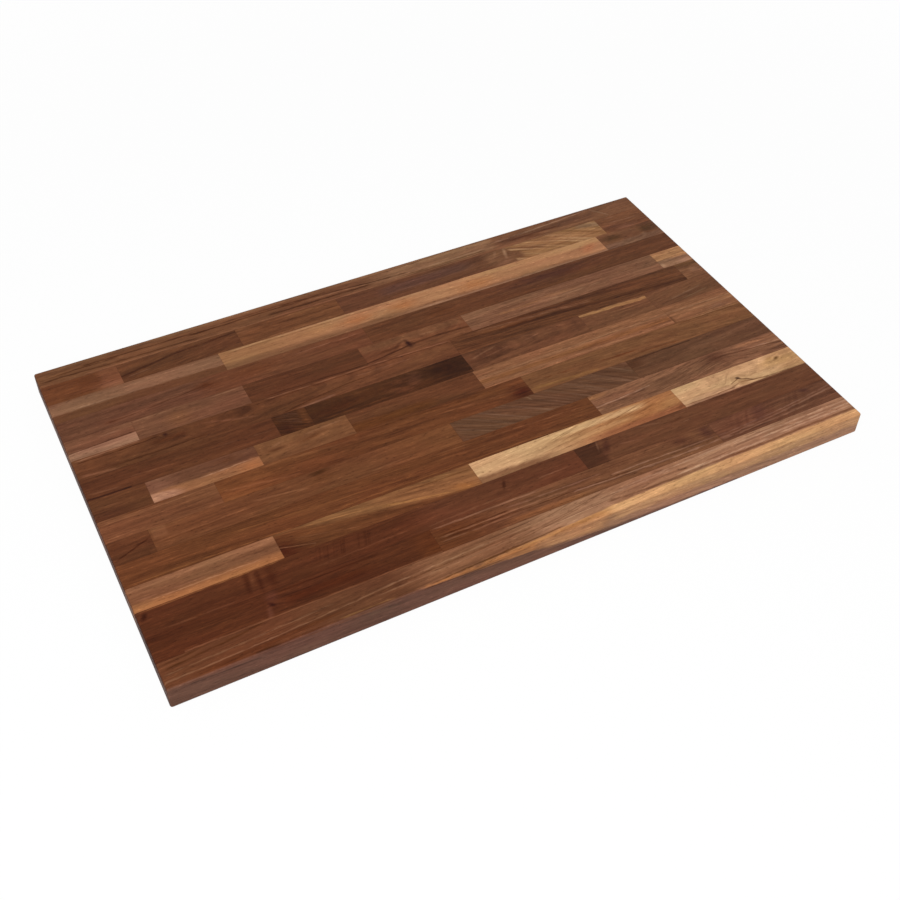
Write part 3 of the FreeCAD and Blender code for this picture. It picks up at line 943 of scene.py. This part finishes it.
wood(8, 5, "warm tan", contrast=0.7, cut="straight", marks=[
    streak((55, 58), (90, 60), 1.6, (166, 118, 86), 0.5, soft=3.5, ragged=1.4, fade=2),
    streak((55, 12), (90, 10), 1.2, (160, 114, 82), 0.3, soft=3, ragged=1.4, fade=2),
    streak((55, 34), (88, 34), 4, (126, 78, 44), 0.45, soft=5, ragged=1.4, fade=2),
])
wood(8, 6, "warm tan", contrast=0.6, cut="straight", marks=[
    streak((88, 62), (101, 56), 1.2, (164, 118, 88), 0.5, soft=3, ragged=1.2, fade=4),
    streak((91, 40), (101, 36), 1, (160, 114, 84), 0.45, soft=3, ragged=1.2),
    blotch((88.15, 18), 2.6, 11, (82, 50, 32), 0.7, soft=1, ragged=0.4),
    blotch((96.5, 18), 16, 5, (118, 80, 64), 0.5),
])

# Row 9
wood(9, 1, "dark", wander=2.5, marks=[
    streak((0, 3), (6, 2), 1.6, (40, 21, 12), 0.7, ragged=0.8, fade=2),
    streak((0, 30), (5, 16), 1.6, (128, 84, 60), 0.5, soft=3, ragged=1.2),
    streak((5, 48), (12, 42), 1, (124, 80, 56), 0.4, ragged=1.2),
    streak((18, 52), (27, 42), 0.9, (116, 76, 54), 0.4, ragged=1.2),
])
wood(9, 2, "smoke", contrast=1, slant=-0.3, marks=[
    stripes(27, 30.5, (108, 72, 56), 0.55, turn=-24, step=4, thin=0.35, soft=0.5, side=60, wide=16, fade=6),
    blotch((28, 28), 8, 9, (54, 30, 24), 0.6),
    blotch((31, 66), 5, 15, (106, 63, 40), 0.65, ragged=0.4),
])
wood(9, 3, "smoke", contrast=0.9, cut="flat", wander=5, marks=[
    blotch((53.2, 60), 26, 26, (46, 27, 19), 0.85, turn=20, soft=1.1, ragged=0.3),
    blotch((45.2, 24), 14, 5, (104, 62, 42), 0.7, turn=-20, soft=1.1, ragged=0.5),
    blotch((47.8, 62), 8, 13, (104, 63, 45), 0.75, turn=-28, soft=1.1, ragged=0.5),
    blotch((45.5, 72), 12, 4, (94, 56, 38), 0.6, turn=-10, soft=1.1, ragged=0.5),
    blotch((38.5, 72), 12, 4, (92, 56, 36), 0.5, turn=12, soft=1.1, ragged=0.5),
    blotch((36, 40), 30, 8, (56, 30, 20), 0.5, turn=8, ragged=0.5),
    streak((33, 6), (44, 10), 1.4, (92, 54, 34), 0.5, soft=3),
])
wood(9, 4, "earth", contrast=0.8, cut="flat", wander=3, marks=[
    streak((56.5, 56), (62, 92), 1.4, (140, 98, 72), 0.55, bow=2, soft=3),
    streak((58, 46), (64, 70), 1, (134, 90, 66), 0.45, bow=1, soft=2.5),
    streak((65.5, 66), (69, 84), 1.2, (138, 90, 68), 0.5, soft=3),
])
wood(9, 5, "brown", contrast=0.4, marks=[
    streak((75, 95), (88.4, 80), 2.2, (166, 118, 78), 0.9, end_wide=3.8, soft=3, ragged=2, bow=0.5, fade=1),
    streak((80, 62), (87, 58), 1, (136, 92, 64), 0.4),
    streak((78, 12), (86, 10), 2, (134, 88, 62), 0.4, soft=4),
])
wood(9, 6, "brown", slant=0.1, marks=[
    streak((90, 26), (97.5, 56), 1.2, (142, 104, 80), 0.5, bow=-1.5, soft=3),
    streak((92, 10), (98, 30), 1, (134, 100, 74), 0.4, bow=-1, soft=3),
])

# Row 10
wood(10, 1, "umber", contrast=0.6, cut="flat", wander=4, late=0.5, marks=[
    streak((30, 50), (60, 40), 40, (114, 70, 48), 0.6, soft=10, fade=120, fade_out=1, ragged=0.5),
    streak((0, 86), (12.5, 88), 0.9, (62, 33, 20), 0.8, bow=-2, ragged=0.8),
    streak((0, 95), (10, 97), 1, (136, 92, 70), 0.6),
    blotch((12.8, 84), 3.4, 2.8, (46, 22, 13), 0.85, soft=0.9),
    streak((10, 64), (16, 60), 4, (80, 41, 26), 0.5, soft=8, ragged=0.5),
    streak((4, 26), (18.5, 26), 1.2, (66, 35, 21), 0.6, bow=-2, ragged=0.8),
    streak((0, 22), (6, 4), 2, (130, 84, 62), 0.5, soft=4),
    streak((17.5, 80), (26, 24), 1.3, (122, 78, 57), 0.4, bow=1.5, soft=3, ragged=1.4),
    streak((19, 70), (24, 30), 0.7, (124, 78, 56), 0.4, bow=1.5, ragged=0.8),
    streak((28, 4), (43, 46), 1.1, (66, 35, 22), 0.65, bow=3, ragged=0.8),
    streak((30, 0), (37, 12), 2, (138, 94, 74), 0.5, bow=0.6, ragged=0.8),
    streak((25, 85), (56.5, 86), 0.8, (70, 38, 24), 0.7, ragged=0.9),
    streak((27, 93), (56.5, 93), 0.8, (142, 96, 72), 0.5),
    streak((40, 64), (50, 60), 0.8, (136, 90, 68), 0.4),
])
wood(10, 2, "umber", contrast=0.9, cut="straight", slant=-0.05, late=0.5, marks=[
    streak((60, 66), (96.5, 8), 3, (58, 31, 19), 0.75, end_wide=2.2, bow=1.8, soft=6, ragged=1.6, fade=80,
           fade_out=6),
    streak((57, 72), (70, 56), 1.2, (70, 38, 24), 0.5, soft=3),
    streak((60, 90), (80, 56), 0.9, (136, 92, 68), 0.5),
    streak((67, 80), (80, 66), 0.8, (138, 94, 70), 0.4),
    streak((56, 95), (72, 90), 1.4, (74, 42, 26), 0.5, soft=3),
])
wood(10, 3, "fawn", contrast=0.8, marks=[
    streak((95.5, 92), (101, 84), 6, (96, 64, 40), 0.7, soft=7, ragged=1.5, fade=10, fade_out=1),
    blotch((98.5, 45), 8, 5, (146, 104, 80), 0.5),
])

# Row 11
wood(11, 1, "dusty brown", marks=[
    streak((-2, 13), (11, 19), 11, (149, 106, 83), 0.95, soft=2.5, ragged=1.4, fade=1),
    streak((-1, 36), (10, 50), 0.9, (74, 42, 28), 0.75, ragged=0.8, fade=1),
    streak((4, 74), (8, 80), 1, (140, 98, 76), 0.4),
])
wood(11, 2, "dusty brown", contrast=0.4, marks=[
    streak((9.5, 91), (14.5, 93), 1.2, (144, 99, 73), 0.45, ragged=1.4, fade=3),
    streak((20, 93), (25.3, 93), 1.2, (142, 98, 72), 0.4, ragged=1.4),
    blotch((15.5, 40), 14, 14, (124, 80, 52), 0.5),
])
wood(11, 3, "dark", cut="straight", marks=[
    streak((27, 10), (43, 8), 1, (64, 32, 18), 0.6),
    streak((33, 62), (38, 60), 0.9, (112, 66, 42), 0.4),
])
wood(11, 4, "chestnut", contrast=0.7, cut="flat", wander=3, marks=[
    streak((43, 75), (60, 80), 7, (124, 84, 58), 0.5, soft=9, ragged=1.5, fade=10),
    streak((42.5, 12), (50.5, 36), 1.3, (62, 32, 19), 0.8, bow=-0.8, soft=2.4, ragged=0.8, fade=4,
           fade_out=6),
    streak((50, 36), (60.6, 30), 1.9, (66, 35, 21), 0.75, bow=2.6, soft=4, ragged=0.8, fade=5, fade_out=1),
    streak((45, 38), (50, 50), 2, (84, 44, 26), 0.5, soft=4, ragged=0.8),
    blotch((50.4, 47), 3.4, 7.5, (44, 21, 12), 0.9, turn=10, soft=0.9),
    streak((52, 72), (56, 62), 1.6, (142, 98, 70), 0.5, soft=3),
], knots=[Knot((50.4, 45), 16, 10, 5)])
wood(11, 5, "dusty tan", contrast=0.6, cut="straight", marks=[
    blotch((63, 75), 26, 9, (140, 98, 72), 0.6, ragged=0.4),
    streak((64, 40), (74, 46), 2, (148, 102, 66), 0.45, soft=5, ragged=2, fade=30),
    streak((72, 56), (80, 50), 1.5, (150, 106, 72), 0.5, soft=3, ragged=2, fade=30),
    streak((71, 36), (86, 36), 1.3, (160, 118, 88), 0.5, soft=3, ragged=2, fade=30),
    streak((66, 62), (92, 60), 1, (98, 62, 40), 0.4, ragged=1.2),
])
wood(11, 6, "gold", contrast=0.7, marks=[
    streak((92, 20), (102, 16), 12, (130, 93, 71), 0.92, soft=5, ragged=1.6, fade=1),
    blotch((94.6, 18), 3, 5, (170, 128, 100), 0.5, soft=1),
    blotch((98.5, 16), 9, 5, (158, 114, 92), 0.6, ragged=0.5),
])

# Row 12
wood(12, 1, "dull brown", slant=0.02, marks=[
    band(18, 50, (106, 62, 41), 0.6, soft=10, fade=60, fade_out=1),
    streak((6, 26), (22, 66), 1, (72, 39, 25), 0.6, bow=-2),
    blotch((7, 28), 7, 2.6, (74, 38, 24), 0.6, soft=1.1, ragged=0.5),
    blotch((21.2, 58), 15, 6, (86, 44, 26), 0.7, turn=-8, ragged=0.5),
    blotch((28, 62), 30, 10, (92, 50, 30), 0.5, ragged=0.5),
    streak((34, 74), (45.5, 78), 0.9, (138, 92, 70), 0.4),
    streak((40, 66), (45.5, 70), 0.8, (76, 40, 26), 0.5),
])
wood(12, 2, "umber", marks=[
    blotch((76.5, 66), 62, 10, (76, 44, 36), 0.85, ragged=0.5),
    blotch((58, 55), 20, 8, (84, 48, 28), 0.5, ragged=0.5),
    streak((66, 45), (78, 50), 1.2, (120, 78, 54), 0.4, soft=3, ragged=1.2),
    streak((84, 62), (90, 72), 1.2, (118, 78, 54), 0.4, soft=3, ragged=1.2),
])

# Row 13
wood(13, 1, "grey tan", contrast=0.2, cut="straight", marks=[
    streak((-2, 14), (27, 13), 10, (100, 62, 42), 0.95, soft=5, ragged=1.5, bow=1, fade=1),
    streak((-2, 98), (27, 97), 2.5, (112, 70, 48), 0.5, soft=6, ragged=1.5),
    streak((3, 45), (14, 44), 1, (156, 116, 92), 0.25, ragged=1.4),
])
wood(13, 2, "honey", contrast=0.1, marks=[
    band(22, 45, (146, 101, 68), 0.75, wide=45, soft=4, fade=1, fade_out=160),
    streak((22, 6), (93, 0), 10.5, (120, 81, 57), 0.85, end_wide=4.5, soft=9, ragged=1.8, fade=1),
    streak((50, 3), (92, 2), 2.4, (158, 118, 92), 0.6, soft=5, ragged=1.5, fade=100, fade_out=1),
    streak((26, 94), (60, 93), 1.2, (176, 132, 96), 0.6, ragged=1.2),
    streak((25, 86), (50, 85), 1, (124, 84, 56), 0.5, ragged=1.2),
    streak((60, 90), (90, 86), 3, (182, 134, 93), 0.75, end_wide=8, soft=8, ragged=1.5, fade=60,
           fade_out=1),
    blotch((46, 52), 22, 8, (172, 104, 66), 0.75, ragged=0.5),
    blotch((53.5, 52), 18, 8, (168, 102, 62), 0.75, ragged=0.5),
    blotch((66, 48), 26, 9, (174, 110, 66), 0.65, ragged=0.5),
    blotch((40, 60), 26, 8, (162, 114, 74), 0.5, ragged=0.5),
    blotch((86.5, 52), 12, 7, (182, 112, 76), 0.65, turn=30, ragged=0.5),
])
wood(13, 3, "brown", contrast=0.7, cut="flat", wander=4, marks=[
    streak((87, 12), (102, 16), 8, (120, 84, 64), 0.85, soft=6, ragged=2, fade=1),
    blotch((90.5, 16), 12, 5, (130, 88, 70), 0.6, ragged=0.5),
    blotch((96.6, 30), 3, 6, (136, 98, 76), 0.6, turn=-35, soft=1),
    blotch((91.5, 62), 16, 7, (68, 44, 26), 0.8, ragged=0.5),
    blotch((97.8, 66), 12, 9, (70, 46, 28), 0.8, ragged=0.5),
    streak((95, 92), (95.8, 60), 1.2, (116, 84, 62), 0.5, soft=2.5, fade=4, ragged=0.5),
])

# Row 14
wood(14, 1, "russet", marks=[
    band(7.5, 13, (120, 74, 52), 0.7, fade=14, fade_out=1),
    blotch((9.4, 10), 18, 8, (142, 92, 68), 0.6, ragged=0.4),
    streak((2, 16), (8, 12), 1.2, (76, 42, 26), 0.5, ragged=1.2),
    blotch((6.2, 72), 12, 9, (88, 48, 29), 0.5, ragged=0.4),
])
wood(14, 2, "umber", contrast=0.6, slant=0.11, marks=[
    streak((10.8, 34), (20, 74), 2.2, (60, 31, 17), 0.75, bow=1.2, soft=3.4, ragged=1.7, fade=1,
           fade_out=40),
    streak((17, 67), (29, 90), 1.8, (60, 31, 17), 0.75, bow=0.6, soft=3.2, ragged=1.6, fade=30, fade_out=3),
    stripes(10.9, 22, (62, 33, 20), 0.55, turn=8, step=3, thin=0.25, soft=0.4, side=16, wide=8),
    streak((11, 24), (17, 40), 0.8, (130, 88, 66), 0.5, ragged=0.8),
])
wood(14, 3, "red brown", contrast=0.6, marks=[
    streak((32, 64), (45.2, 62), 1, (76, 41, 26), 0.6),
    streak((36, 88), (42, 90), 1.6, (130, 84, 56), 0.5, soft=3),
    streak((30, 6), (45.2, 6), 2, (136, 88, 60), 0.5, soft=5, ragged=1.2, fade=40),
    blotch((29.8, 80), 9, 6, (126, 80, 56), 0.4),
])
wood(14, 4, "earth", contrast=0.4, ring=0.0042, marks=[
    streak((50, 58), (69, 66), 10, (93, 62, 52), 0.7, soft=10, ragged=1.5, fade=40),
    band(69, 96, (120, 80, 56), 0.8, fade=34, fade_out=1),
    streak((74.2, 145), (96, 30), 20, (152, 107, 72), 0.97, end_wide=44, soft=4, ragged=1.8, fade=5,
           fade_out=1),
    streak((75.7, 22), (96, -30), 12, (152, 106, 71), 0.97, end_wide=16, soft=5, ragged=1.8, fade=9,
           fade_out=1),
    stripes(74.5, 91.5, (116, 75, 46), 0.6, turn=-22, curve=0.4, step=4.6, thin=0.1, soft=0.35, fade=6),
    stripes(74.5, 91.5, (182, 138, 100), 0.6, turn=-22, curve=0.4, step=6.4, thin=0.25, soft=0.35, fade=6),
    blotch((75.2, 46), 19, 7, (112, 72, 50), 0.9, turn=-38, soft=0.7, ragged=0.3),
    blotch((73.85, 70), 2.6, 13, (158, 116, 88), 0.8, turn=-14, soft=0.9, ragged=0.3),
    blotch((72.2, 80), 2.2, 7, (140, 98, 74), 0.6, turn=-30, soft=0.9, ragged=0.3),
    blotch((72.8, 16), 12, 5, (132, 88, 66), 0.6, turn=15, ragged=0.4),
    blotch((71.2, 70), 9, 10, (128, 88, 64), 0.5, turn=35, ragged=0.4),
    streak((87, 100), (93, 66), 6, (134, 99, 75), 0.7, soft=7, ragged=1.5, fade=14, fade_out=1),
], knots=[Knot((73.5, 50), 60, 60, 16)])
wood(14, 5, "chestnut", contrast=0.7, marks=[
    streak((92.5, 88), (95.5, 90), 1.6, (138, 94, 72), 0.5, soft=3),
    blotch((93.5, 34), 16, 6, (98, 60, 46), 0.5, ragged=0.5),
    streak((93, 58), (99, 54), 1, (142, 100, 80), 0.45, ragged=1.2),
    blotch((95.5, 10), 14, 4, (134, 88, 70), 0.5, ragged=0.4),
])

# Row 15, the back rail
wood(15, 1, "fawn", contrast=0.4, slant=-0.005, wander=3.5, late=0.9, ring=0.0046, marks=[
    band(-1, 52, (108, 68, 45), 0.6, soft=10, fade=1, fade_out=110),
    streak((0, 86), (58, 90), 3.4, (130, 92, 66), 0.6, soft=7, ragged=1.6, fade=60),
    streak((6, 55), (27, 48), 1.3, (68, 37, 22), 0.8, bow=1.8, soft=2.6, ragged=1.3),
    streak((22, 48), (42, 54), 1.5, (70, 39, 23), 0.8, soft=3, ragged=1.2),
    streak((0, 30), (24, 16), 1.4, (70, 38, 23), 0.75, bow=-1, soft=3, ragged=1.4),
    streak((34, 24), (52, 26), 2, (68, 38, 23), 0.8, soft=3.5, ragged=1.4),
    streak((36, 64), (62, 6), 1.2, (70, 39, 24), 0.8, bow=3.5, soft=2.6, ragged=1.2),
    streak((40, 44), (60, 14), 0.9, (150, 106, 78), 0.5, bow=3, ragged=0.8),
    streak((6, 4), (52, 2), 1.6, (142, 92, 66), 0.6, ragged=0.8),
    streak((50, 50), (74.5, 50), 15, (138, 100, 73), 0.75, soft=9, ragged=1.8, fade=70, fade_out=26),
    streak((0, 42), (12, 50), 1.2, (72, 39, 23), 0.7, ragged=1.4),
    streak((27, 66), (46, 60), 1, (78, 45, 28), 0.6, ragged=1.4),
    streak((48, 44), (60, 30), 1, (76, 45, 28), 0.7, ragged=1.2),
    streak((57, 32), (72, 31), 0.9, (160, 122, 94), 0.6, ragged=1.2),
    streak((50, 76), (62, 80), 0.9, (98, 64, 44), 0.6, ragged=1.4),
    streak((55, 22), (72, 22), 1, (82, 52, 32), 0.7, bow=-1.5),
    streak((56, 10), (72, 8), 1, (90, 58, 38), 0.6),
    streak((73.5, 34), (93, 40), 6, (100, 64, 46), 0.8, soft=6, ragged=1.5, bow=2, fade=20),
    streak((73, 52), (92, 86), 1.2, (156, 116, 92), 0.7, bow=-2.5, ragged=1.2),
    streak((74, 40), (80, 62), 0.9, (76, 44, 28), 0.6, ragged=0.9),
    streak((80, 95), (90, 92), 1.4, (84, 48, 34), 0.6, soft=3, ragged=0.9),
    streak((75.5, 32), (86, 34), 2.2, (84, 45, 30), 0.7, soft=4, ragged=1.2),
    blotch((80, 20), 16, 4, (84, 48, 30), 0.6, soft=1.1, ragged=0.5),
    blotch((87.5, 50), 18, 7, (96, 60, 46), 0.5, ragged=0.5),
    streak((92, 86), (94.5, 4), 2, (142, 106, 82), 0.6, soft=5, fade=5),
    blotch((96.5, 55), 9, 4, (126, 82, 60), 0.5),
])


# Floor, lights and camera

WHITE = (1.0, 1.0, 1.0, 1.0)
FLOOR_PAINT = (0.90, 0.90, 0.90, 1.0)
FLOOR_SIZE = 16.0
FLOOR_GAP_MM = 0.2
# The floor's share of plain white near the slab, and how far from the middle it starts to grow and is full
FLOOR_WHITE = 0.94
WHITE_GROWS_FROM = 0.8
WHITE_FULL_AT = 2.4
SKY_LIGHT = 0.45
SOFTBOX_PLACE = (-1.2, -1.9, 2.8)
SOFTBOX_SIZE = 2.2
SOFTBOX_POWER = 100.0


def seen_rays(tree):
    """1 for what the camera sees, in gloss and through glass too, and 0 for light on its way elsewhere."""
    rays = tree.nodes.new("ShaderNodeLightPath")
    seen = Wire(tree, rays.outputs["Is Camera Ray"])
    for label in ("Is Glossy Ray", "Is Transmission Ray"):
        seen = seen.math("MAXIMUM", Wire(tree, rays.outputs[label]))
    return seen


def make_floor():
    """A plain pale floor, a hair under the slab: it keeps a faint shadow, and is white far from it."""
    bpy.ops.mesh.primitive_plane_add(size=FLOOR_SIZE, location=(0, 0, slab_low.z - FLOOR_GAP_MM * MM))
    floor = bpy.context.object
    floor.name = "floor"
    material = bpy.data.materials.new("pale floor")
    material.use_nodes = True
    tree = material.node_tree
    tree.nodes.clear()
    seen = seen_rays(tree)
    coordinates = tree.nodes.new("ShaderNodeTexCoord")
    distance = tree.nodes.new("ShaderNodeVectorMath")
    distance.operation = "LENGTH"
    tree.links.new(coordinates.outputs["Object"], distance.inputs[0])
    far = Wire(tree, distance.outputs["Value"]).ramp(WHITE_GROWS_FROM, WHITE_FULL_AT)
    paint = tree.nodes.new("ShaderNodeBsdfDiffuse")
    paint.inputs["Color"].default_value = FLOOR_PAINT
    glow = tree.nodes.new("ShaderNodeEmission")
    glow.inputs["Color"].default_value = WHITE
    blend = tree.nodes.new("ShaderNodeMixShader")
    plug(tree, seen * (far * (1 - FLOOR_WHITE) + FLOOR_WHITE), blend.inputs[0])
    tree.links.new(paint.outputs[0], blend.inputs[1])
    tree.links.new(glow.outputs[0], blend.inputs[2])
    output = tree.nodes.new("ShaderNodeOutputMaterial")
    tree.links.new(blend.outputs[0], output.inputs[0])
    floor.data.materials.append(material)
    floor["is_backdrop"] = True


def make_world():
    """An even sky that lights softly and looks white."""
    world = bpy.data.worlds.new("studio")
    bpy.context.scene.world = world
    world.use_nodes = True
    tree = world.node_tree
    seen = seen_rays(tree)
    background = tree.nodes["Background"]
    background.inputs["Color"].default_value = WHITE
    plug(tree, seen * (1 - SKY_LIGHT) + SKY_LIGHT, background.inputs["Strength"])


def add_softbox():
    """A square lamp in front of the slab, that faces its middle."""
    bpy.ops.object.light_add(type="AREA", location=SOFTBOX_PLACE)
    lamp = bpy.context.object
    lamp.name = "front softbox"
    lamp.data.shape = "SQUARE"
    lamp.data.size = SOFTBOX_SIZE
    lamp.data.energy = SOFTBOX_POWER
    lamp.rotation_euler = Vector(SOFTBOX_PLACE).to_track_quat("Z", "Y").to_euler()


# The camera that fits the photograph: where it looks, from how far and how far turned
AIM = Vector((-0.0452, -0.1106, slab_high.z))
AZIMUTH = math.radians(-27.96)
ELEVATION = math.radians(45.24)
ROLL = math.radians(0.83)
DISTANCE = 1.7593
LENS_MM = 49.3
SENSOR_MM = 36.0


def add_camera():
    """A camera at the photograph's viewing angle."""
    turn = (
        Matrix.Rotation(AZIMUTH, 4, "Z")
        @ Matrix.Rotation(math.pi / 2 - ELEVATION, 4, "X")
        @ Matrix.Rotation(ROLL, 4, "Z")
    )
    back = turn.to_3x3() @ Vector((0, 0, 1))
    bpy.ops.object.camera_add(location=AIM + back * DISTANCE, rotation=turn.to_euler())
    camera = bpy.context.object
    camera.data.lens = LENS_MM
    camera.data.sensor_width = SENSOR_MM
    camera.data.sensor_fit = "HORIZONTAL"
    bpy.context.scene.camera = camera


make_floor()
make_world()
add_softbox()
add_camera()
bpy.context.scene.view_settings.view_transform = "Standard"

note_size("visual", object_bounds())
